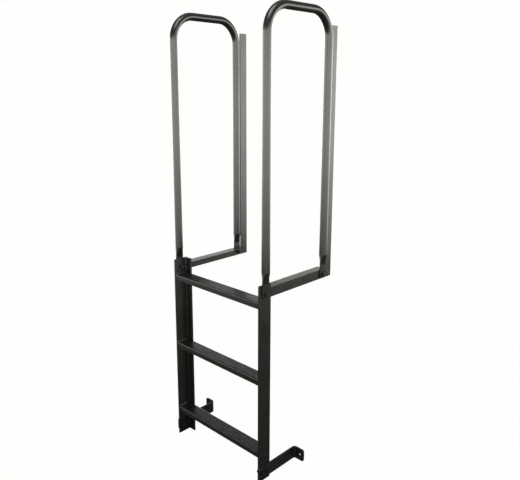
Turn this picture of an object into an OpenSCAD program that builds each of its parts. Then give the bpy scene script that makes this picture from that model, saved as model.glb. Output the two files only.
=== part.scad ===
// Walk-through access ladder for a raised deck or tailgate.
// Three box rungs between angle stiles, a bent-tube handrail loop and a deck-level
// angle frame on each side, and two flat arms that hold the stiles off the wall.
// Origin: bottom centre of the whole ladder. +X is the climber's right, +Y points
// at the deck, +Z is up. The right side is drawn and the left side mirrors it.

/* [Stiles] */
// Clear width between the side legs of the two stiles
clear_w = 481.3; // [440:0.1:560]
// Width of the stile's side leg, front to back
stile_leg = 63.5; // [60:0.1:76]
// Width of the stile's back leg, which points inward
stile_flange = 38.1; // [30:0.1:50]
// Thickness of the stile angle
stile_t = 6.35; // [5:0.05:8]
// Length of stile above the top rung's centre line
stile_above = 76; // [70:1:90]

/* [Rungs] */
// Height of the bottom rung's centre line above the foot of the stiles
first_rung_z = 120.4; // [100:0.1:160]
// Vertical distance from rung to rung
rung_pitch = 304.8; // [270:0.1:320]
// Height of the rung tube
rung_h = 25.4; // [22:0.1:30]
// Wall of the rung tube
rung_wall = 3; // [2:0.1:3.2]
// Outer corner radius of the rung tube
rung_r = 4; // [3.5:0.1:6]

/* [Handrails] */
// Outer diameter of the handrail tube
tube_d = 31.75; // [28:0.05:34]
// Wall of the handrail tube
tube_wall = 2.4; // [2:0.1:3]
// Height of the loop's top centre line above the top rung's centre line
loop_rise = 1052; // [950:1:1150]
// Distance between the front and rear legs of a loop, centre to centre
loop_depth = 336; // [300:1:380]
// Centre-line radius of the loop's two top bends
bend_r = 95; // [70:1:130]
// Thickness of the flattened tube end
tongue_t = 6; // [5:0.1:8]
// Width of the flattened tube end
tongue_w = 36.5; // [32:0.5:36.5]
// Length over which the round tube runs out into the flat end
flare_len = 45; // [35:1:70]

/* [Deck frame] */
// Leg width of the deck rail's angle, and width of the rear post's flat bar
rail_leg = 38.1; // [35:0.1:45]
// Thickness of that angle and of the flat bar
rail_t = 4.8; // [4:0.1:6]
// Height of the deck rail's top face above the top rung's centre line
rail_above = 60; // [56:1:68]
// Gap between the loop's rear leg and the rear post
post_gap = 2.5; // [2.5:0.1:5]
// Height of the rear post's square-cut top above the top rung's centre line
post_above = 1006; // [900:1:1060]

/* [Stand-off arms] */
// Height of the flat bar
bar_h = 50.8; // [40:0.1:60]
// Thickness of the flat bar
bar_t = 6.35; // [5:0.05:8]
// Height of the bar's centre line above the foot of the stiles
arm_z = 40; // [32:1:60]
// Distance from the back of the stile to the wall face of the foot
standoff = 150; // [120:1:200]
// Reach of the foot outward from the stile's outer face
foot_reach = 53; // [50:1:70]
// Radius inside the bar's bend
bar_bend_r = 8; // [6:0.5:10]
// Diameter of the mounting hole in the foot
foot_hole_d = 11; // [9:0.5:13]
// Distance from the foot's end to its hole centre
foot_edge = 19; // [16:0.5:22]

/* [Fasteners] */
// Bolt shank diameter
bolt_d = 9.5; // [8:0.5:10]
// Hex size of bolt heads and nuts, across flats
hex_af = 14.3; // [13:0.1:16]

/* [Hidden] */
$fn = 48;

// Side-to-side planes
inner_x = clear_w / 2;
outer_x = inner_x + stile_t;
tube_x = outer_x + tongue_t / 2;
foot_x = outer_x + foot_reach;

// Front-to-back planes, centred on the ladder's overall depth
depth = stile_leg / 2 + loop_depth + tube_d / 2 + post_gap + rail_leg;
front_y = -depth / 2;
stile_back_y = front_y + stile_leg;
tube_front_y = front_y + stile_leg / 2;
tube_rear_y = tube_front_y + loop_depth;
post_y = tube_rear_y + tube_d / 2 + post_gap;
rear_y = post_y + rail_leg;
foot_y = stile_back_y + standoff;

// Heights
middle_rung_z = first_rung_z + rung_pitch;
top_rung_z = middle_rung_z + rung_pitch;
stile_top = top_rung_z + stile_above;
rail_top = top_rung_z + rail_above;
post_top = top_rung_z + post_above;
loop_top = top_rung_z + loop_rise;
tongue_end = top_rung_z + 25;
tongue_top = stile_top + 4;
flare_top = tongue_top + flare_len;
bolt_z = rail_top - (rail_leg + rail_t) / 2 + 1;

// Small details
toe_r = 2.5;
root_r = 4;
tongue_r = 10;
bar_corner_r = 8;
hole_d = bolt_d + 1;
head_h = 6.4;
nut_h = 8.3;
nut_play = 0.2;
washer_od = 20.6;
washer_t = 1.6;
bolt_tail = 3;
bead = 5;
bead_end = 3;
stitch_len = 40;
drain_d = 4;
arm_front_y = front_y + 1;
arm_bolt_gap = 28;
coat = [0.14, 0.13, 0.12];
steel = [0.3, 0.3, 0.31];
weld = [0.2, 0.19, 0.18];

// Draws its children on the right (side 1) or mirrored on the left (side -1)
module on_side(side) {
    if (side > 0) children();
    else mirror([1, 0, 0]) children();
}

module on_both_sides() {
    for (side = [-1, 1]) on_side(side) children();
}

// What is missing from a square corner of radius r; the corner is at the origin
module corner_cut(r) {
    difference() {
        translate([-0.01, -0.01]) square(r + 0.01);
        translate([r, r]) circle(r);
    }
}

// Rolled angle section: corner at the origin, legs a along +x and b along +y
module angle_section(a, b, t) {
    difference() {
        union() {
            square([a, t]);
            square([t, b]);
            translate([t, t]) corner_cut(root_r);
        }
        translate([a, t]) rotate(180) corner_cut(toe_r);
        translate([t, b]) rotate(180) corner_cut(toe_r);
    }
}

// Rectangle centred on the origin with round corners
module round_rect(w, h, r) {
    square([w - 2 * r, h], center = true);
    square([w, h - 2 * r], center = true);
    for (x = [-1, 1], y = [-1, 1]) translate([x * (w / 2 - r), y * (h / 2 - r)]) circle(r);
}

module stile_shape() {
    translate([outer_x, stile_back_y, 0])
        rotate(180)
            linear_extrude(stile_top) angle_section(stile_flange, stile_leg, stile_t);
}

// A hole along X through the outer wall of the right side
module side_hole(y, z) {
    translate([inner_x - 10, y, z]) rotate([0, 90, 0]) cylinder(d = hole_d, h = 40);
}

module front_bolt_place() { translate([0, tube_front_y, bolt_z]) children(); }
module rear_bolt_place() { translate([0, tube_rear_y, bolt_z]) children(); }

module arm_bolt_places() {
    for (k = [-1, 1]) translate([0, tube_front_y - 3 + k * arm_bolt_gap / 2, arm_z]) children();
}

module stile(side) {
    color(coat) on_side(side) difference() {
        stile_shape();
        side_hole(tube_front_y, bolt_z);
        arm_bolt_places() side_hole(0, 0);
    }
}

// Box tube between the stiles, coped to the angle's inside corner
module rung(z) {
    rung_depth = stile_leg - stile_t;
    color(coat) difference() {
        translate([-inner_x, front_y + rung_depth / 2, z])
            rotate([90, 0, 90])
                linear_extrude(clear_w) difference() {
                    round_rect(rung_depth, rung_h, rung_r);
                    round_rect(rung_depth - 2 * rung_wall, rung_h - 2 * rung_wall, rung_r - rung_wall);
                }
        on_both_sides() stile_shape();
    }
}

// The whole loop at radius r, from flare to flare, as two mirrored halves and the top
module loop_path(r) {
    half_top = loop_depth / 2 - bend_r;
    leg_h = loop_top - bend_r - flare_top;
    translate([tube_x, tube_front_y + loop_depth / 2, loop_top - bend_r]) rotate([90, 0, 90]) {
        for (rear = [0, 1]) mirror([rear, 0, 0]) {
            translate([half_top, 0, 0]) rotate_extrude(angle = 90) translate([bend_r, 0]) circle(r);
            translate([half_top + bend_r, 0, 0]) rotate([90, 0, 0]) cylinder(r = r, h = leg_h);
        }
        translate([-half_top, bend_r, 0]) rotate([0, 90, 0]) cylinder(r = r, h = 2 * half_top);
    }
}

// Flattened end of the tube with rounded lower corners
module tongue(y) {
    tongue_h = tongue_top - tongue_end;
    translate([outer_x, y, tongue_top])
        rotate([90, 0, 90])
            linear_extrude(tongue_t) difference() {
                translate([-tongue_w / 2, -tongue_h]) square([tongue_w, tongue_h]);
                translate([-tongue_w / 2, -tongue_h]) corner_cut(tongue_r);
                translate([tongue_w / 2, -tongue_h]) rotate(90) corner_cut(tongue_r);
            }
}

// Run-out from the round tube to the flat end: the tube pinched between two slopes
module flare(y) {
    intersection() {
        translate([tube_x, y, tongue_top]) cylinder(d = tube_d, h = flare_len);
        translate([tube_x, y + tube_d, tongue_top])
            rotate([90, 0, 0])
                linear_extrude(2 * tube_d) polygon([
                    [-tongue_t / 2, 0], [tongue_t / 2, 0],
                    [tube_d / 2, flare_len], [-tube_d / 2, flare_len]
                ]);
    }
}

// Lets water out of the tube just above its lug, on the side facing the walkway
module drain_hole(y) {
    translate([tube_x - tube_d, y, flare_top + 2 * drain_d])
        rotate([0, 90, 0]) cylinder(d = drain_d, h = tube_d);
}

// Bent round tube, open at both lower ends
module handrail(side) {
    color(coat) on_side(side) difference() {
        loop_path(tube_d / 2);
        loop_path(tube_d / 2 - tube_wall);
        drain_hole(tube_front_y);
        drain_hole(tube_rear_y);
    }
}

// The two flattened and drilled ends of one loop
module handrail_lugs(side) {
    color(coat) on_side(side) for (y = [tube_front_y, tube_rear_y]) difference() {
        union() {
            flare(y);
            tongue(y);
        }
        side_hole(y, bolt_z);
    }
}

// Half-space on one side of the 45 degree mitre; past is 1 on the post's side
module mitre_block(past) {
    span = 3 * rail_leg;
    translate([0, post_y, rail_top])
        rotate([45, 0, 0])
            translate([0, (past - 1) * span, -span]) cube([2 * foot_x, span, 2 * span]);
}

// Deck rail: outer leg upright, top leg pointing inward, mitred at the rear
module deck_rail(side) {
    color(coat) on_side(side) difference() {
        translate([outer_x, stile_back_y, rail_top])
            rotate([-90, 0, 0])
                rotate(90)
                    linear_extrude(rear_y - stile_back_y) angle_section(rail_leg, rail_leg, rail_t);
        mitre_block(1);
        side_hole(tube_rear_y, bolt_z);
    }
}

// Rear post: flat bar standing in the plane of the rail's outer leg
module rear_post(side) {
    post_foot = rail_top - rail_leg;
    color(coat) on_side(side) difference() {
        translate([outer_x - rail_t, post_y, post_foot])
            cube([rail_t, rail_leg, post_top - post_foot]);
        mitre_block(0);
    }
}

// Flat bar with two round corners at its far end; runs along +x from the origin plane
module bar_blank(len) {
    difference() {
        translate([0, -bar_h / 2]) square([len, bar_h]);
        translate([len, -bar_h / 2]) rotate(90) corner_cut(bar_corner_r);
        translate([len, bar_h / 2]) rotate(180) corner_cut(bar_corner_r);
    }
}

// Stand-off arm: flat bar on the stile's outer face, bent outward into a drilled foot
module standoff_arm(side) {
    bend_x = outer_x + bar_t + bar_bend_r;
    bend_y = foot_y - bar_t - bar_bend_r;
    color(coat) on_side(side) difference() {
        union() {
            translate([outer_x, bend_y, arm_z])
                rotate([90, 0, 90])
                    rotate(180)
                        linear_extrude(bar_t) bar_blank(bend_y - arm_front_y);
            translate([bend_x, bend_y, arm_z - bar_h / 2])
                rotate(90)
                    rotate_extrude(angle = 90) translate([bar_bend_r, 0]) square([bar_t, bar_h]);
            translate([bend_x, foot_y, arm_z])
                rotate([90, 0, 0]) linear_extrude(bar_t) bar_blank(foot_x - bend_x);
        }
        arm_bolt_places() side_hole(0, 0);
        translate([foot_x - foot_edge, foot_y + 1, arm_z])
            rotate([90, 0, 0]) cylinder(d = foot_hole_d, h = bar_t + 2);
    }
}

// Hex bolt along X: head outside at x = head_x, shank running inward by len
module hex_bolt(head_x, len) {
    hex_r = hex_af / 2 / cos(30);
    translate([head_x, 0, 0]) rotate([0, 90, 0]) cylinder(r = hex_r, h = head_h, $fn = 6);
    translate([head_x - len, 0, 0]) rotate([0, 90, 0]) cylinder(d = bolt_d, h = len);
}

module washer(x) {
    translate([x, 0, 0]) rotate([0, 90, 0]) difference() {
        cylinder(d = washer_od, h = washer_t);
        translate([0, 0, -1]) cylinder(d = hole_d, h = washer_t + 2);
    }
}

module hex_nut(x) {
    hex_r = hex_af / 2 / cos(30);
    translate([x, 0, 0]) rotate([0, 90, 0]) difference() {
        cylinder(r = hex_r, h = nut_h, $fn = 6);
        translate([0, 0, -1]) cylinder(d = bolt_d + nut_play, h = nut_h + 2);
    }
}

// One fastener of a stack: outer_t is what is clamped on the stile or rail wall wall_t
module bolt_of(outer_t, wall_t) {
    hex_bolt(outer_x + outer_t + washer_t, outer_t + wall_t + 2 * washer_t + nut_h + bolt_tail);
}

module washers_of(outer_t, wall_t) {
    washer(outer_x + outer_t);
    washer(outer_x - wall_t - washer_t);
}

module nut_of(wall_t) { hex_nut(outer_x - wall_t - washer_t - nut_h); }

module handrail_bolts() {
    color(steel) on_both_sides() {
        front_bolt_place() bolt_of(tongue_t, stile_t);
        rear_bolt_place() bolt_of(tongue_t, rail_t);
    }
}

module handrail_washers() {
    color(steel) on_both_sides() {
        front_bolt_place() washers_of(tongue_t, stile_t);
        rear_bolt_place() washers_of(tongue_t, rail_t);
    }
}

module handrail_nuts() {
    color(steel) on_both_sides() {
        front_bolt_place() nut_of(stile_t);
        rear_bolt_place() nut_of(rail_t);
    }
}

module arm_bolts() {
    color(steel) on_both_sides() arm_bolt_places() bolt_of(bar_t, stile_t);
}

module arm_washers() {
    color(steel) on_both_sides() arm_bolt_places() washers_of(bar_t, stile_t);
}

module arm_nuts() {
    color(steel) on_both_sides() arm_bolt_places() nut_of(stile_t);
}

// Fillet bead: a quarter round along +z in the +x +y corner
module fillet(len, w) {
    linear_extrude(len) intersection() {
        circle(w);
        square(w);
    }
}

// Beads over and under both ends of every rung
module rung_welds() {
    color(weld) for (z = [first_rung_z, middle_rung_z, top_rung_z], up = [0, 1]) on_both_sides()
        translate([inner_x, front_y + rung_r, z])
            mirror([0, 0, up])
                translate([0, 0, rung_h / 2])
                    rotate([90, 0, 180])
                        fillet(stile_leg - stile_t - root_r - 2 * rung_r, bead);
}

// Beads across the front end of each deck rail: on its top leg and inside its outer leg
module deck_rail_welds() {
    color(weld) on_both_sides() {
        translate([outer_x - bead_end, stile_back_y, rail_top])
            rotate([0, -90, 0]) fillet(rail_leg - 2 * bead_end, bead);
        translate([outer_x - rail_t, stile_back_y, rail_top - rail_leg + bead_end])
            rotate(90) fillet(rail_leg - rail_t - root_r - 2 * bead_end, bead);
    }
}

// Low half-round seam over the 45 degree mitre on the outer face
module mitre_welds() {
    seam_r = 1.6;
    color(weld) on_both_sides() intersection() {
        translate([outer_x, post_y + bead_end, rail_top - bead_end])
            rotate([-135, 0, 0]) cylinder(r = seam_r, h = sqrt(2) * (rail_leg - 2 * bead_end));
        translate([outer_x, tube_front_y, 0]) cube([seam_r, depth, loop_top]);
    }
}

// Stitch beads between the loop's rear leg and the rear post's outer corner
module post_stitch_welds() {
    straight = loop_top - bend_r - flare_top;
    step = (straight - 2 * stitch_len) / 2;
    bead_r = bead + post_gap / 2;
    color(weld) on_both_sides() for (k = [0:2]) difference() {
        translate([outer_x, post_y, flare_top + stitch_len / 2 + k * step])
            linear_extrude(stitch_len) intersection() {
                circle(bead_r);
                translate([0, -bead_r]) square(2 * bead_r);
            }
        translate([tube_x, tube_rear_y, 0]) cylinder(d = tube_d, h = loop_top);
    }
}

stile(-1);  // left_stile
stile(1);  // right_stile
rung(top_rung_z);  // top_rung
rung(middle_rung_z);  // middle_rung
rung(first_rung_z);  // bottom_rung
handrail(-1);  // left_handrail
handrail(1);  // right_handrail
handrail_lugs(-1);  // left_handrail_lugs
handrail_lugs(1);  // right_handrail_lugs
deck_rail(-1);  // left_deck_rail
deck_rail(1);  // right_deck_rail
rear_post(-1);  // left_rear_post
rear_post(1);  // right_rear_post
standoff_arm(-1);  // left_standoff_arm
standoff_arm(1);  // right_standoff_arm
handrail_bolts();
handrail_washers();
handrail_nuts();
arm_bolts();
arm_washers();
arm_nuts();
rung_welds();
deck_rail_welds();
mitre_welds();
post_stitch_welds();
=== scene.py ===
"""Walk-through access ladder: the visible pieces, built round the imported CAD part."""

import math

import bmesh
import bpy
from mathutils import Matrix, Vector, noise


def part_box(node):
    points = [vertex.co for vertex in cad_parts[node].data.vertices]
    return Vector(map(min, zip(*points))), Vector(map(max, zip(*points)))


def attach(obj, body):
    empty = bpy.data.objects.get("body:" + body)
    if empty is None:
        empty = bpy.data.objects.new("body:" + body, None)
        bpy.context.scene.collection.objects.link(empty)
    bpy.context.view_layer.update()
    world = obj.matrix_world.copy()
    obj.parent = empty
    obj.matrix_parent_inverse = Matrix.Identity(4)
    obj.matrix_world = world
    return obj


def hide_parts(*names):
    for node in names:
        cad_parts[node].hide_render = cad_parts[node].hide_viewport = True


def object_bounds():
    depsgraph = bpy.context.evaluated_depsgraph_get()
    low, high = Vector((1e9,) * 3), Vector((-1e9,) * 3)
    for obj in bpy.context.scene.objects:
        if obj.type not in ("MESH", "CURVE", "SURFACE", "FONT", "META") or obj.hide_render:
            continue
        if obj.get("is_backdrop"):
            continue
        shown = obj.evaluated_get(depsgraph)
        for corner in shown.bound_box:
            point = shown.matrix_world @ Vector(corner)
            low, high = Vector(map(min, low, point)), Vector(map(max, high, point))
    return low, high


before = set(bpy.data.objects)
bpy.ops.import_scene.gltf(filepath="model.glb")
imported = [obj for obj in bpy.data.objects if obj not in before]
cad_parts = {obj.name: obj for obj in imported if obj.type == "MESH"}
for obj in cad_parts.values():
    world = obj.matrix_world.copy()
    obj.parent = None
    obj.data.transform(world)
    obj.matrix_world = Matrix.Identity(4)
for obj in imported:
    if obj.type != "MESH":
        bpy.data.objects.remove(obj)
cad_lo, cad_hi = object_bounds()

MM = 0.001
X_AXIS, Y_AXIS, Z_AXIS = Vector((1, 0, 0)), Vector((0, 1, 0)), Vector((0, 0, 1))
SIDES = {"right": 1, "left": -1}

# ---- sizes of small details, in metres; places come from the CAD boxes below
EDGE_SOFT = 0.9 * MM
CUT_SOFT = 0.5 * MM
ROOT_R = 4 * MM
TOE_R = 2.5 * MM
RUNG_R = 4 * MM
RAIL_T = 4.8 * MM
BEND_R = 95 * MM
FLARE_LEN = 45 * MM
LUG_END_R = 10 * MM
BAR_T = 6.35 * MM
BAR_BEND_R = 8 * MM
BAR_CORNER_R = 8 * MM
FOOT_HOLE_R = 5.5 * MM
FOOT_EDGE = 19 * MM
ARM_BOLT_GAP = 28 * MM
HOLE_R = 5.25 * MM
DRAIN_R = 2 * MM
BOLT_R = 4.75 * MM
HEAD_H = 6.4 * MM
NUT_H = 8.3 * MM
WASHER_R = 10.3 * MM
WASHER_T = 1.6 * MM
BOLT_TAIL = 3 * MM
THREAD_PITCH = 1.6 * MM
THREAD_DEPTH = 0.558 * MM
POINT_LEN = 1 * MM
SINK = 0.8 * MM
BEAD = 5 * MM
BEAD_END = 3 * MM
STITCH = 40 * MM
STITCHES = 3


def low(node):
    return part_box(node)[0]


def high(node):
    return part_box(node)[1]


# ---- planes of the right half, read from the CAD nodes
outer_x = high("right_stile").x
inner_x = high("top_rung").x
stile_t = outer_x - inner_x
front_y = low("right_stile").y
stile_back_y = high("right_stile").y
stile_flange = outer_x - low("right_stile").x
stile_top = high("right_stile").z
tube_r = (high("right_handrail").x - low("right_handrail").x) / 2
tube_x = low("right_handrail").x + tube_r
tube_front_y = low("right_handrail").y + tube_r
tube_rear_y = high("right_handrail").y - tube_r
loop_top = high("right_handrail").z - tube_r
lug_t = 2 * (tube_x - outer_x)
lug_end = low("right_handrail_lugs").z
flare_top = high("right_handrail_lugs").z
lug_w = 2 * (tube_front_y - low("right_handrail_lugs").y)
rail_top = high("right_deck_rail").z
rail_leg = rail_top - low("right_deck_rail").z
post_y = low("right_rear_post").y
rear_y = high("right_rear_post").y
post_top = high("right_rear_post").z
arm_low, arm_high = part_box("right_standoff_arm")
arm_z = (arm_low.z + arm_high.z) / 2
handrail_bolt_z = (low("handrail_bolts").z + high("handrail_bolts").z) / 2
hex_r = (high("handrail_bolts").z - low("handrail_bolts").z) / 2
arm_bolt_mid_y = (low("arm_bolts").y + high("arm_bolts").y) / 2
arm_bolt_ys = [arm_bolt_mid_y + k * ARM_BOLT_GAP / 2 for k in (-1, 1)]


# ---- mesh helpers
def arc(cx, cy, r, start, end, steps=8):
    """Points of an arc, angles in degrees."""
    angles = [math.radians(start + (end - start) * i / steps) for i in range(steps + 1)]
    return [(cx + r * math.cos(a), cy + r * math.sin(a)) for a in angles]


def angle_outline(a, b, t):
    """Rolled angle section: heel at the origin, leg a along u and leg b along v."""
    return (
        [(0, 0), (a, 0)]
        + arc(a - TOE_R, t - TOE_R, TOE_R, 0, 90)
        + arc(t + ROOT_R, t + ROOT_R, ROOT_R, 270, 180)
        + arc(t - TOE_R, b - TOE_R, TOE_R, 0, 90)
        + [(0, b)]
    )


def round_rect(w, h, r):
    return (
        arc(w / 2 - r, h / 2 - r, r, 0, 90)
        + arc(r - w / 2, h / 2 - r, r, 90, 180)
        + arc(r - w / 2, r - h / 2, r, 180, 270)
        + arc(w / 2 - r, r - h / 2, r, 270, 360)
    )


def circle(r, steps=48):
    return arc(0, 0, r, 0, 360 - 360 / steps, steps - 1)


def loft(rings):
    """Closed solid through rings of points that all have the same count."""
    bm = bmesh.new()
    loops = [[bm.verts.new(p) for p in ring] for ring in rings]
    count = len(loops[0])
    for a, b in zip(loops, loops[1:]):
        for i in range(count):
            j = (i + 1) % count
            bm.faces.new((a[i], a[j], b[j], b[i]))
    bm.faces.new(loops[0][::-1])
    bm.faces.new(loops[-1])
    bmesh.ops.recalc_face_normals(bm, faces=bm.faces[:])
    return bm


def extrude(outline, at, u, v, span):
    """The outline drawn from point at along u and v, carried along span."""
    ring = [at + u * p + v * q for p, q in outline]
    return loft([ring, [p + span for p in ring]])


def rod(centre, axis, r, length, steps=48):
    """Plain cylinder centred on a point, used as a cutter."""
    u = axis.orthogonal().normalized()
    v = axis.cross(u)
    return extrude(circle(r, steps), centre - axis * length / 2, u, v, axis * length)


def to_object(bm, name):
    mesh = bpy.data.meshes.new(name)
    bm.to_mesh(mesh)
    bm.free()
    obj = bpy.data.objects.new(name, mesh)
    bpy.context.scene.collection.objects.link(obj)
    return obj


def combine(bm, other, operation="DIFFERENCE"):
    """Boolean of two solids; both are used up."""
    a, b = to_object(bm, "work"), to_object(other, "tool")
    step = a.modifiers.new("step", "BOOLEAN")
    step.operation, step.solver, step.object = operation, "EXACT", b
    graph = bpy.context.evaluated_depsgraph_get()
    mesh = bpy.data.meshes.new_from_object(a.evaluated_get(graph))
    result = bmesh.new()
    result.from_mesh(mesh)
    for used in (a, b):
        data = used.data
        bpy.data.objects.remove(used)
        bpy.data.meshes.remove(data)
    bpy.data.meshes.remove(mesh)
    return result


def soften(bm, width, segments=3, sharp=30):
    """Rounds every edge sharper than the given angle."""
    limit = math.radians(sharp)
    edges = [e for e in bm.edges if len(e.link_faces) == 2 and e.calc_face_angle() > limit]
    bmesh.ops.bevel(
        bm, geom=edges, offset=width, segments=segments, profile=0.5,
        affect="EDGES", clamp_overlap=True,
    )
    return bm


def add_to(bm, other, matrix=None):
    """Copies the other solid into bm, moved by the matrix."""
    matrix = matrix or Matrix.Identity(4)
    made = {v: bm.verts.new(matrix @ v.co) for v in other.verts}
    for f in other.faces:
        corners = [made[v] for v in f.verts]
        bm.faces.new(corners[::-1] if matrix.determinant() < 0 else corners)
    return bm


def mirrored(bm, side):
    """The solid as it is on the right, or mirrored in X on the left."""
    if side < 0:
        for v in bm.verts:
            v.co.x = -v.co.x
        bmesh.ops.reverse_faces(bm, faces=bm.faces[:])
    return bm


MIRROR = Matrix.Scale(-1, 4, X_AXIS)


def both_sides(right):
    """One mesh that holds the right half's solids and their mirror images."""
    bm = bmesh.new()
    add_to(bm, right)
    add_to(bm, right, MIRROR)
    right.free()
    return bm


def piece(name, bm, finish, slot, *nodes, sharp=35):
    """Turns a finished solid into a visible piece of the object."""
    for f in bm.faces:
        f.smooth = True
    obj = to_object(bm, name)
    obj.data.set_sharp_from_angle(angle=math.radians(sharp))
    obj.data.materials.append(finish)
    shading = obj.modifiers.new("face_weighted", "WEIGHTED_NORMAL")
    shading.keep_sharp = True
    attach(obj, "root")
    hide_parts(*nodes)
    return obj


# ---- materials
COAT_DARK = (0.0060, 0.0054, 0.0042)
COAT_LIGHT = (0.0100, 0.0091, 0.0072)
DUST = (0.055, 0.052, 0.046)
OXIDE_DARK = (0.028, 0.026, 0.024)
OXIDE_LIGHT = (0.062, 0.058, 0.053)


def add(tree, kind, inputs=(), **settings):
    """A shader node with its settings and inputs; an input may be another node's output."""
    made = tree.nodes.new(kind)
    for key, value in settings.items():
        setattr(made, key, value)
    for key, value in dict(inputs).items():
        if isinstance(value, bpy.types.NodeSocket):
            tree.links.new(value, made.inputs[key])
        else:
            made.inputs[key].default_value = value
    return made


def start_material(name):
    made = bpy.data.materials.new(name)
    made.use_nodes = True
    tree = made.node_tree
    tree.nodes.clear()
    place = add(tree, "ShaderNodeTexCoord").outputs["Object"]
    return made, tree, place


def noise_of(tree, place, scale, detail=3.0, roughness=0.5):
    inputs = {"Vector": place, "Scale": scale, "Detail": detail, "Roughness": roughness}
    return add(tree, "ShaderNodeTexNoise", inputs).outputs["Fac"]


def remap(tree, value, from_low, from_high, to_low, to_high):
    inputs = {
        "Value": value, "From Min": from_low, "From Max": from_high,
        "To Min": to_low, "To Max": to_high,
    }
    return add(tree, "ShaderNodeMapRange", inputs).outputs["Result"]


def blend_colour(tree, factor, first, second):
    made = add(tree, "ShaderNodeMix", data_type="RGBA")
    tree.links.new(factor, made.inputs["Factor"])
    for key, value in ((6, first), (7, second)):
        if isinstance(value, bpy.types.NodeSocket):
            tree.links.new(value, made.inputs[key])
        else:
            made.inputs[key].default_value = (*value, 1)
    return made.outputs[2]


def multiply(tree, a, b):
    inputs = {0: a, 1: b}
    return add(tree, "ShaderNodeMath", inputs, operation="MULTIPLY").outputs[0]


def powder_coat(name, peel_scale, peel_depth, rough_low, rough_high):
    """Gloss black powder coat: orange peel, cloudy gloss and a trace of dust on top faces."""
    made, tree, place = start_material(name)
    cloud = noise_of(tree, place, 9, 4)
    mottle = noise_of(tree, place, 70, 5, 0.6)
    peel = noise_of(tree, place, peel_scale, 2)
    speck = noise_of(tree, place, 520, 2)
    normal = add(tree, "ShaderNodeNewGeometry").outputs["Normal"]
    up = add(tree, "ShaderNodeSeparateXYZ", {"Vector": normal}).outputs["Z"]
    facing_up = remap(tree, up, 0.8, 1.0, 0.0, 1.0)
    settled = remap(tree, mottle, 0.42, 0.68, 0.0, 1.0)
    dust = multiply(tree, multiply(tree, facing_up, settled), 0.3)
    coat_colour = blend_colour(
        tree, remap(tree, mottle, 0.3, 0.7, 0.0, 1.0), COAT_DARK, COAT_LIGHT
    )
    colour = blend_colour(tree, dust, coat_colour, DUST)
    gloss = remap(tree, cloud, 0.3, 0.7, rough_low, rough_high)
    roughness = add(
        tree, "ShaderNodeMath", {0: gloss, 1: multiply(tree, dust, 0.5)}, operation="ADD"
    ).outputs[0]
    relief = add(
        tree, "ShaderNodeBump", {"Strength": 0.35, "Distance": peel_depth, "Height": peel}
    ).outputs["Normal"]
    relief = add(
        tree, "ShaderNodeBump",
        {"Strength": 0.15, "Distance": peel_depth / 3, "Height": speck, "Normal": relief},
    ).outputs["Normal"]
    shader = add(
        tree, "ShaderNodeBsdfPrincipled",
        {
            "Base Color": colour, "Roughness": roughness, "Normal": relief,
            "Metallic": 0.0, "IOR": 1.52, "Coat Weight": 0.6, "Coat Roughness": 0.16,
        },
    )
    add(tree, "ShaderNodeOutputMaterial", {"Surface": shader.outputs["BSDF"]})
    return made


def black_oxide(name):
    """Oxidised steel fasteners: dark, slightly brown and finely streaked."""
    made, tree, place = start_material(name)
    streaks = add(tree, "ShaderNodeMapping", {"Vector": place, "Scale": (1, 6, 6)}).outputs[0]
    turning = noise_of(tree, streaks, 260, 3, 0.6)
    stain = noise_of(tree, place, 140, 5, 0.65)
    colour = blend_colour(
        tree, remap(tree, stain, 0.35, 0.7, 0.0, 1.0), OXIDE_DARK, OXIDE_LIGHT
    )
    relief = add(
        tree, "ShaderNodeBump", {"Strength": 0.3, "Distance": 0.05 * MM, "Height": turning}
    ).outputs["Normal"]
    shader = add(
        tree, "ShaderNodeBsdfPrincipled",
        {
            "Base Color": colour, "Normal": relief, "Metallic": 0.85,
            "Roughness": remap(tree, turning, 0.3, 0.7, 0.32, 0.5),
        },
    )
    add(tree, "ShaderNodeOutputMaterial", {"Surface": shader.outputs["BSDF"]})
    return made



bar_coat = powder_coat("powder_coat_bar", 300, 0.16 * MM, 0.26, 0.36)
tube_coat = powder_coat("powder_coat_tube", 340, 0.12 * MM, 0.22, 0.31)
weld_coat = powder_coat("powder_coat_weld", 420, 0.22 * MM, 0.28, 0.40)
oxide = black_oxide("black_oxide_hardware")


# ---- stiles, rungs, deck rails and posts
def stile(side):
    shape = angle_outline(stile_flange, stile_back_y - front_y, stile_t)
    heel = Vector((outer_x, stile_back_y, 0))
    bm = extrude(shape, heel, -X_AXIS, -Y_AXIS, Z_AXIS * stile_top)
    places = [(tube_front_y, handrail_bolt_z)] + [(y, arm_z) for y in arm_bolt_ys]
    for y, z in places:
        bm = combine(bm, rod(Vector((outer_x, y, z)), X_AXIS, HOLE_R, 4 * stile_t))
    return mirrored(soften(bm, EDGE_SOFT), side)


for word, side in SIDES.items():
    name = f"{word}_stile"
    piece(f"{name}_angle", stile(side), bar_coat, "powder_coat", name)

for name in ("top_rung", "middle_rung", "bottom_rung"):
    lo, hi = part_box(name)
    section = round_rect(hi.y - lo.y, hi.z - lo.z, RUNG_R)
    start = Vector((lo.x, (lo.y + hi.y) / 2, (lo.z + hi.z) / 2))
    rung = extrude(section, start, Y_AXIS, Z_AXIS, X_AXIS * (hi.x - lo.x))
    piece(f"{name}_box", rung, bar_coat, "powder_coat", name)


def keep_side(bm, direction):
    """Cuts at the 45 degree mitre between deck rail and post, keeping one side of it."""
    cut = bmesh.ops.bisect_plane(
        bm, geom=bm.verts[:] + bm.edges[:] + bm.faces[:],
        plane_co=Vector((outer_x, post_y, rail_top)),
        plane_no=Vector((0, 1, 1)).normalized() * direction, clear_outer=True,
    )
    rim = [e for e in cut["geom_cut"] if isinstance(e, bmesh.types.BMEdge)]
    bmesh.ops.contextual_create(bm, geom=rim)
    bmesh.ops.recalc_face_normals(bm, faces=bm.faces[:])
    return bm


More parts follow.
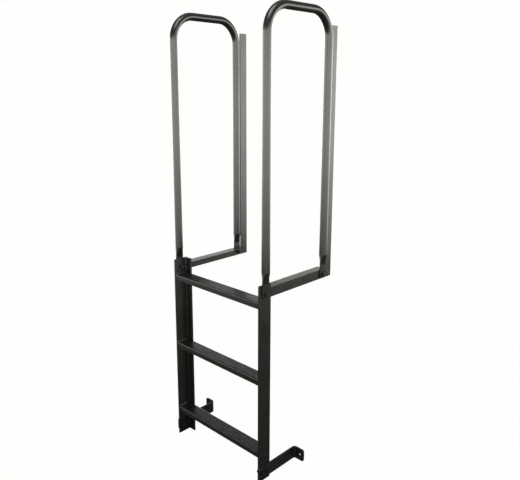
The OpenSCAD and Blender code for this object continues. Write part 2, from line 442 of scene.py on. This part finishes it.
def deck_rail(side):
    shape = angle_outline(rail_leg, rail_leg, RAIL_T)
    heel = Vector((outer_x, stile_back_y, rail_top))
    bm = extrude(shape, heel, -X_AXIS, -Z_AXIS, Y_AXIS * (rear_y - stile_back_y))
    bm = keep_side(bm, 1)
    hole = rod(Vector((outer_x, tube_rear_y, handrail_bolt_z)), X_AXIS, HOLE_R, 4 * RAIL_T)
    return mirrored(soften(combine(bm, hole), CUT_SOFT), side)


def rear_post(side):
    foot = rail_top - rail_leg
    bar = [(0, 0), (RAIL_T, 0), (RAIL_T, rail_leg), (0, rail_leg)]
    bm = extrude(bar, Vector((outer_x, post_y, foot)), -X_AXIS, Y_AXIS,
                 Z_AXIS * (post_top - foot))
    return mirrored(soften(keep_side(bm, -1), CUT_SOFT), side)


for word, side in SIDES.items():
    piece(f"{word}_deck_rail_angle", deck_rail(side), bar_coat, "powder_coat",
          f"{word}_deck_rail")
    piece(f"{word}_rear_post_bar", rear_post(side), bar_coat, "powder_coat",
          f"{word}_rear_post")


# ---- handrail loops: one swept tube each, pressed flat at both lower ends
RING = 56
END_STEPS = 10
CURVE_STEPS = 24
DRAIN_DEPTH = 4 * MM


def flat_outline(half_t, half_w):
    """Pressed tube: flat faces across u and full-round edges, RING points by length."""
    straight = 2 * (half_w - half_t)
    total = 2 * straight + 2 * math.pi * half_t
    points = []
    for i in range(RING):
        s = (i / RING * total + straight / 2) % total
        if s < straight:
            points.append((half_t, s - straight / 2))
        elif s < straight + math.pi * half_t:
            a = (s - straight) / half_t
            points.append((half_t * math.cos(a), straight / 2 + half_t * math.sin(a)))
        elif s < 2 * straight + math.pi * half_t:
            points.append((-half_t, straight / 2 - (s - straight - math.pi * half_t)))
        else:
            a = (s - 2 * straight - math.pi * half_t) / half_t + math.pi
            points.append((half_t * math.cos(a), half_t * math.sin(a) - straight / 2))
    return points


def tube_section(height):
    """Section of a loop's leg at a height above the lug's lower end."""
    flat_h = flare_top - FLARE_LEN - lug_end
    half_w = lug_w / 2
    if height < LUG_END_R:
        half_w -= LUG_END_R - math.sqrt(LUG_END_R**2 - (LUG_END_R - height) ** 2)
    pressed = flat_outline(lug_t / 2, half_w)
    t = min(max((height - flat_h) / FLARE_LEN, 0), 1)
    t = t * t * (3 - 2 * t)
    return [
        (p * (1 - t) + c * t, q * (1 - t) + s * t)
        for (p, q), (c, s) in zip(pressed, circle(tube_r, RING))
    ]


def leg_heights():
    """Stations up one leg: close together at the lug's end and through the run-out."""
    flat_h = flare_top - FLARE_LEN - lug_end
    end = [
        LUG_END_R * (1 - math.cos(math.pi / 2 * i / END_STEPS)) for i in range(END_STEPS + 1)
    ]
    flare = [flat_h + FLARE_LEN * i / CURVE_STEPS for i in range(CURVE_STEPS + 1)]
    return end + flare


def loop_tube(side):
    rings = []
    rise = loop_top - BEND_R
    for height in leg_heights():
        at = Vector((tube_x, tube_front_y, lug_end + height))
        rings.append([at + X_AXIS * p + Y_AXIS * q for p, q in tube_section(height)])
    for corner_y, start, end in (
        (tube_front_y + BEND_R, 180, 90),
        (tube_rear_y - BEND_R, 90, 0),
    ):
        for i in range(CURVE_STEPS + 1):
            a = math.radians(start + (end - start) * i / CURVE_STEPS)
            out = Vector((0, math.cos(a), math.sin(a)))
            at = Vector((tube_x, corner_y, rise)) + out * BEND_R
            rings.append([at + X_AXIS * p - out * q for p, q in circle(tube_r, RING)])
    for height in reversed(leg_heights()):
        at = Vector((tube_x, tube_rear_y, lug_end + height))
        rings.append([at + X_AXIS * p - Y_AXIS * q for p, q in tube_section(height)])
    bm = loft(rings)
    for y in (tube_front_y, tube_rear_y):
        bm = combine(bm, rod(Vector((tube_x, y, handrail_bolt_z)), X_AXIS, HOLE_R, 4 * lug_t))
        drain_z = flare_top + 4 * DRAIN_R
        drain_at = Vector((tube_x - tube_r, y, drain_z))
        bm = combine(bm, rod(drain_at, X_AXIS, DRAIN_R, 2 * DRAIN_DEPTH))
    return mirrored(bm, side)


for word, side in SIDES.items():
    piece(f"{word}_handrail_tube", loop_tube(side), tube_coat, "powder_coat",
          f"{word}_handrail", f"{word}_handrail_lugs")


# ---- stand-off arms: flat bar with one bend and a drilled foot
def standoff_arm(side):
    bend_x = outer_x + BAR_T + BAR_BEND_R
    bend_y = arm_high.y - BAR_T - BAR_BEND_R
    outline = (
        [(outer_x, arm_low.y), (outer_x + BAR_T, arm_low.y)]
        + arc(bend_x, bend_y, BAR_BEND_R, 180, 90, 12)
        + [(arm_high.x, arm_high.y - BAR_T), (arm_high.x, arm_high.y)]
        + arc(bend_x, bend_y, BAR_BEND_R + BAR_T, 90, 180, 12)
    )
    tall = Z_AXIS * (arm_high.z - arm_low.z)
    bm = extrude(outline, Z_AXIS * arm_low.z, X_AXIS, Y_AXIS, tall)
    corners = []
    for e in bm.edges:
        a, b = (v.co for v in e.verts)
        level = abs(a.z - b.z) < MM
        if level and max(a.y, b.y) < arm_low.y + MM:
            corners.append(e)
        if level and min(a.x, b.x) > arm_high.x - MM:
            corners.append(e)
    bmesh.ops.bevel(bm, geom=corners, offset=BAR_CORNER_R, segments=10, profile=0.5,
                    affect="EDGES")
    for y in arm_bolt_ys:
        bm = combine(bm, rod(Vector((outer_x, y, arm_z)), X_AXIS, HOLE_R, 4 * BAR_T))
    hole = Vector((arm_high.x - FOOT_EDGE, arm_high.y, arm_z))
    bm = combine(bm, rod(hole, Y_AXIS, FOOT_HOLE_R, 4 * BAR_T))
    return mirrored(soften(bm, EDGE_SOFT), side)


for word, side in SIDES.items():
    name = f"{word}_standoff_arm"
    piece(f"{name}_bar", standoff_arm(side), bar_coat, "powder_coat", name)


# ---- fasteners, drawn along +x from the clamped face and carried to their places
def lathe(profile, steps=48):
    """Solid of revolution about x through points (x, r); ends close on the axis."""
    rings = []
    for x, r in profile:
        rings.append([Vector((x, r * c, r * s)) for c, s in circle(1, steps)])
    return loft(rings)


def ring_solid(profile, steps=72):
    """Ring about x: the closed profile of points (x, r) turned all the way round."""
    bm = bmesh.new()
    rings = [
        [bm.verts.new((x, r * c, r * s)) for x, r in profile] for c, s in circle(1, steps)
    ]
    for a, b in zip(rings, rings[1:] + rings[:1]):
        for i in range(len(profile)):
            j = (i + 1) % len(profile)
            bm.faces.new((a[i], a[j], b[j], b[i]))
    bmesh.ops.recalc_face_normals(bm, faces=bm.faces[:])
    return bm


def hexagon(x0, x1):
    """Hex prism about x with its corners up and down."""
    corners = circle(hex_r, 6)
    return extrude(corners, X_AXIS * x0, Z_AXIS, Y_AXIS, X_AXIS * (x1 - x0))


flat_r = hex_r * math.cos(math.radians(30)) * 0.96
turned_r = hex_r * 1.02
drop = (turned_r - flat_r) * math.tan(math.radians(30))


def hex_head():
    """Hex bolt head from x = 0, its corners turned off at 30 degrees."""
    turned = lathe([(-MM, turned_r), (HEAD_H - drop, turned_r), (HEAD_H, flat_r)], 72)
    return soften(combine(hexagon(0, HEAD_H + MM), turned, "INTERSECT"), 0.2 * MM, 2, 50)


def nut():
    """Hex nut from x = 0 to -NUT_H, chamfered on both faces and at its bore."""
    bore_r = BOLT_R + 0.1 * MM
    turned = ring_solid([
        (0, bore_r + SINK), (0, flat_r), (-drop, turned_r), (drop - NUT_H, turned_r),
        (-NUT_H, flat_r), (-NUT_H, bore_r + SINK), (SINK - NUT_H, bore_r), (-SINK, bore_r),
    ])
    return combine(hexagon(-NUT_H - MM, MM), turned, "INTERSECT")


def threaded_rod(length):
    """Shank from x = 0 with a helical thread and a turned point at its free end."""
    steps, per_turn = 36, 10
    count = int(length / THREAD_PITCH * per_turn)
    rings = []
    for i in range(count + 1):
        x = length * i / count
        point = max(0, POINT_LEN - (length - x)) * 0.9
        ring = []
        for k, (c, s) in enumerate(circle(1, steps)):
            phase = (x / THREAD_PITCH - k / steps) % 1
            depth = THREAD_DEPTH * (1 - abs(2 * phase - 1))
            r = min(BOLT_R - depth, BOLT_R - point)
            ring.append(Vector((x, r * c, r * s)))
        rings.append(ring)
    return loft(rings)


def bolt(grip):
    """Hex bolt: the head's bearing face is at x = 0 and the shank runs to -x."""
    bm = hex_head()
    thread = threaded_rod(grip + NUT_H + BOLT_TAIL)
    add_to(bm, thread, Matrix.Scale(-1, 4, X_AXIS))
    thread.free()
    return bm


def washer():
    """Flat washer from x = 0 to its thickness, with soft rims."""
    rim, lip = 0.35 * MM, 0.2 * MM
    return ring_solid([
        (lip, HOLE_R), (0, HOLE_R + lip), (0, WASHER_R - rim), (rim, WASHER_R),
        (WASHER_T - rim, WASHER_R), (WASHER_T, WASHER_R - rim), (WASHER_T, HOLE_R + lip),
        (WASHER_T - lip, HOLE_R),
    ])


def at_places(template, places):
    """The template at every place on both sides of the ladder."""
    right = bmesh.new()
    for place in places:
        add_to(right, template, Matrix.Translation(place))
    template.free()
    return both_sides(right)


def stack(prefix, places, outer_t, wall_t):
    """Bolts, washers and nuts that clamp outer_t onto a wall of thickness wall_t."""
    return [
        (f"{prefix}_bolts", bolt(outer_t + wall_t + 2 * WASHER_T),
         [p + X_AXIS * (outer_t + WASHER_T) for p in places]),
        (f"{prefix}_washers", washer(),
         [p + X_AXIS * outer_t for p in places]
         + [p - X_AXIS * (wall_t + WASHER_T) for p in places]),
        (f"{prefix}_nuts", nut(), [p - X_AXIS * (wall_t + WASHER_T) for p in places]),
    ]


front_place = Vector((outer_x, tube_front_y, handrail_bolt_z))
rear_place = Vector((outer_x, tube_rear_y, handrail_bolt_z))
arm_places = [Vector((outer_x, y, arm_z)) for y in arm_bolt_ys]
for name, template, places in stack("arm", arm_places, BAR_T, stile_t):
    piece(f"{name}_detail", at_places(template, places), oxide, "black_hardware", name)

front_stack = stack("handrail", [front_place], lug_t, stile_t)
rear_stack = stack("handrail", [rear_place], lug_t, RAIL_T)
for (name, front, front_places), (_, rear, rear_places) in zip(front_stack, rear_stack):
    bm = at_places(front, front_places)
    more = at_places(rear, rear_places)
    add_to(bm, more)
    more.free()
    piece(f"{name}_detail", bm, oxide, "black_hardware", name)


# ---- weld beads: fillets with overlapping ripples
RIPPLE = 2.4 * MM
BEAD_POINTS = 10


def bead(start, end, u, v, leg, seed, sink=0.4 * MM):
    """Fillet bead from start to end in the corner between faces along u and v."""
    span = end - start
    length = span.length
    along = span.normalized()
    stations = max(8, int(length / (RIPPLE / 6)))
    rings = []
    for i in range(stations + 1):
        s = length * i / stations
        wander = 1 + 0.07 * noise.noise(Vector((s / (5 * MM), seed, 0.5)))
        edge = min(s, length - s) / leg
        taper = math.sqrt(max(0.0, 1 - (1 - min(edge, 1)) ** 2))
        ring = [start + along * s - (u + v) * sink]
        for k in range(BEAD_POINTS + 1):
            a = math.pi / 2 * k / BEAD_POINTS
            lag = 0.42 * math.cos(2 * (a - math.pi / 4))
            phase = (s / RIPPLE - lag + seed) % 1
            scale = 0.86 + 0.12 * math.sqrt(max(0.0, 1 - phase * phase))
            r = leg * wander * scale * max(taper, 0.06)
            bulge = 1 - 0.1 * math.sin(2 * a)
            ring.append(
                start + along * s + u * (r * math.cos(a) * bulge - sink * (k == BEAD_POINTS))
                + v * (r * math.sin(a) * bulge - sink * (k == 0))
            )
        rings.append(ring)
    return loft(rings)


def beads(name, right_beads):
    right = bmesh.new()
    for one in right_beads:
        add_to(right, one)
        one.free()
    piece(f"{name}_ripples", both_sides(right), weld_coat, "painted_weld", name, sharp=60)


made = []
for index, rung in enumerate(("bottom_rung", "middle_rung", "top_rung")):
    lo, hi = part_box(rung)
    for z, up in ((hi.z, 1), (lo.z, -1)):
        start = Vector((inner_x, lo.y + RUNG_R, z))
        end = Vector((inner_x, hi.y - RUNG_R - ROOT_R, z))
        made.append(bead(start, end, -X_AXIS, Z_AXIS * up, BEAD, 0.37 * (2 * index + up)))
beads("rung_welds", made)

rail_end = Vector((outer_x, stile_back_y, rail_top))
made = [
    bead(rail_end - X_AXIS * BEAD_END, rail_end - X_AXIS * (rail_leg - BEAD_END),
         Y_AXIS, Z_AXIS, BEAD, 0.11),
    bead(rail_end + Vector((-RAIL_T, 0, BEAD_END - rail_leg)),
         rail_end - Vector((RAIL_T, 0, RAIL_T + ROOT_R + BEAD_END)),
         Y_AXIS, -X_AXIS, BEAD, 0.63),
]
beads("deck_rail_welds", made)


def seam(start, end, out, r, seed):
    """Low half-round seam lying on a face that looks along out."""
    along = (end - start).normalized()
    across = out.cross(along)
    length = (end - start).length
    stations = int(length / (RIPPLE / 6))
    rings = []
    for i in range(stations + 1):
        s = length * i / stations
        edge = min(1, min(s, length - s) / (2 * r))
        taper = math.sqrt(max(0.0, 1 - (1 - edge) ** 2))
        ring = []
        for k in range(BEAD_POINTS + 1):
            a = math.pi * k / BEAD_POINTS
            phase = (s / (0.8 * RIPPLE) + 0.4 * abs(math.cos(a)) + seed) % 1
            size = r * (0.8 + 0.18 * math.sqrt(max(0.0, 1 - phase * phase)))
            size *= max(taper, 0.06)
            lift = size * math.sin(a) - (0.3 * MM if k in (0, BEAD_POINTS) else 0)
            ring.append(start + along * s + across * (1.35 * size * math.cos(a)) + out * lift)
        rings.append(ring)
    return loft(rings)


mitre = Vector((outer_x, post_y, rail_top))
made = [seam(mitre + Vector((0, BEAD_END, -BEAD_END)),
             mitre + Vector((0, rail_leg - BEAD_END, BEAD_END - rail_leg)),
             X_AXIS, 1.5 * MM, 0.2)]
beads("mitre_welds", made)

post_gap = post_y - (tube_rear_y + tube_r)
straight = loop_top - BEND_R - flare_top
pitch = (straight - (STITCHES - 1) * STITCH) / (STITCHES - 1)
made = []
for index in range(STITCHES):
    z = flare_top + STITCH / 2 + index * pitch
    start = Vector((outer_x, post_y, z))
    made.append(bead(start - Y_AXIS * post_gap, start + Z_AXIS * STITCH - Y_AXIS * post_gap,
                     X_AXIS, Y_AXIS, BEAD + post_gap / 2, 0.29 * index))
beads("post_stitch_welds", made)

# ---- floor and soft studio surroundings
PAPER = (1.0, 0.995, 0.982)
FLOOR_PAINT = (0.16, 0.157, 0.15, 1)
FLOOR_GLOW = 1.2
FLOOR_GLOW_SHARE = 0.82
WALL_STRENGTH = 3.6
WALL_TINT = (1.0, 0.985, 0.945)
# how bright the walls are at each height, from straight down at 0 to straight up at 1
WALL_BASE, WALL_TOP = 0.06, 0.10
WALL_LEVELS = (
    (0.33, 0.06), (0.41, 0.55), (0.47, 1.0), (0.56, 0.95), (0.63, 0.14), (0.69, 0.03),
)
FLOOR_R = 3.2


def floor():
    bm = bmesh.new()
    ring = [(FLOOR_R * c, FLOOR_R * s, 0) for c, s in circle(1, 64)]
    bm.faces.new([bm.verts.new(p) for p in ring])
    obj = to_object(bm, "studio_floor")
    made = bpy.data.materials.new("studio_floor_paint")
    made.use_nodes = True
    tree = made.node_tree
    tree.nodes.clear()
    paint = add(tree, "ShaderNodeBsdfDiffuse", {"Color": FLOOR_PAINT})
    lit = add(tree, "ShaderNodeEmission", {"Color": (*PAPER, 1), "Strength": FLOOR_GLOW})
    seen = add(tree, "ShaderNodeLightPath").outputs["Is Camera Ray"]
    share = multiply(tree, seen, FLOOR_GLOW_SHARE)
    mixed = add(tree, "ShaderNodeMixShader", {0: share, 1: paint.outputs[0], 2: lit.outputs[0]})
    add(tree, "ShaderNodeOutputMaterial", {"Surface": mixed.outputs[0]})
    obj.data.materials.append(made)
    obj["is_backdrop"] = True


def surroundings():
    """Pale walls, brightest at eye height and falling away overhead."""
    world = bpy.data.worlds.new("studio")
    bpy.context.scene.world = world
    world.use_nodes = True
    tree = world.node_tree
    tree.nodes.clear()
    direction = add(tree, "ShaderNodeTexCoord").outputs["Generated"]
    height = add(tree, "ShaderNodeSeparateXYZ", {"Vector": direction}).outputs["Z"]
    ramp = add(tree, "ShaderNodeValToRGB", {"Fac": remap(tree, height, -1.0, 1.0, 0.0, 1.0)})
    stops = ramp.color_ramp.elements
    stops[0].position, stops[0].color = 0.0, (WALL_BASE, WALL_BASE, WALL_BASE, 1)
    stops[1].position, stops[1].color = 1.0, (WALL_TOP, WALL_TOP, WALL_TOP, 1)
    for position, value in WALL_LEVELS:
        stops.new(position).color = (*(value * tint for tint in WALL_TINT), 1)
    wall = add(tree, "ShaderNodeBackground", {"Color": ramp.outputs["Color"], "Strength": WALL_STRENGTH})
    paper = add(tree, "ShaderNodeBackground", {"Color": (*PAPER, 1), "Strength": 1.0})
    seen = add(tree, "ShaderNodeLightPath").outputs["Is Camera Ray"]
    mixed = add(tree, "ShaderNodeMixShader", {0: seen, 1: wall.outputs[0], 2: paper.outputs[0]})
    add(tree, "ShaderNodeOutputWorld", {"Surface": mixed.outputs[0]})


def softbox(name, at, look_at, width, height, power):
    data = bpy.data.lights.new(name, "AREA")
    data.shape, data.size, data.size_y, data.energy = "RECTANGLE", width, height, power
    obj = bpy.data.objects.new(name, data)
    obj.location = at
    obj.rotation_euler = (look_at - at).to_track_quat("-Z", "Y").to_euler()
    bpy.context.scene.collection.objects.link(obj)


floor()
surroundings()
middle = (cad_lo + cad_hi) / 2
softbox("overhead", Vector((0.6, -0.8, 3.6)), middle, 1.6, 1.6, 25)

# ---- camera
LENS = 40.06
SHIFT = (0.0037, -0.042)
CAMERA_AT = Vector((1.6214, -1.6402, 1.4986))
YAW, PITCH_DOWN, ROLL = (math.radians(a) for a in (44.02, 12.48, 0.14))
data = bpy.data.cameras.new("camera")
camera = bpy.data.objects.new("camera", data)
bpy.context.scene.collection.objects.link(camera)
bpy.context.scene.camera = camera
data.sensor_width = 36.0
data.lens = LENS
data.shift_x, data.shift_y = SHIFT
data.clip_end = 200.0
camera.matrix_world = (
    Matrix.Translation(CAMERA_AT)
    @ Matrix.Rotation(YAW, 4, "Z")
    @ Matrix.Rotation(math.pi / 2 - PITCH_DOWN, 4, "X")
    @ Matrix.Rotation(ROLL, 4, "Z")
)
bpy.context.scene.view_settings.view_transform = "Standard"

lo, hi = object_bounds()
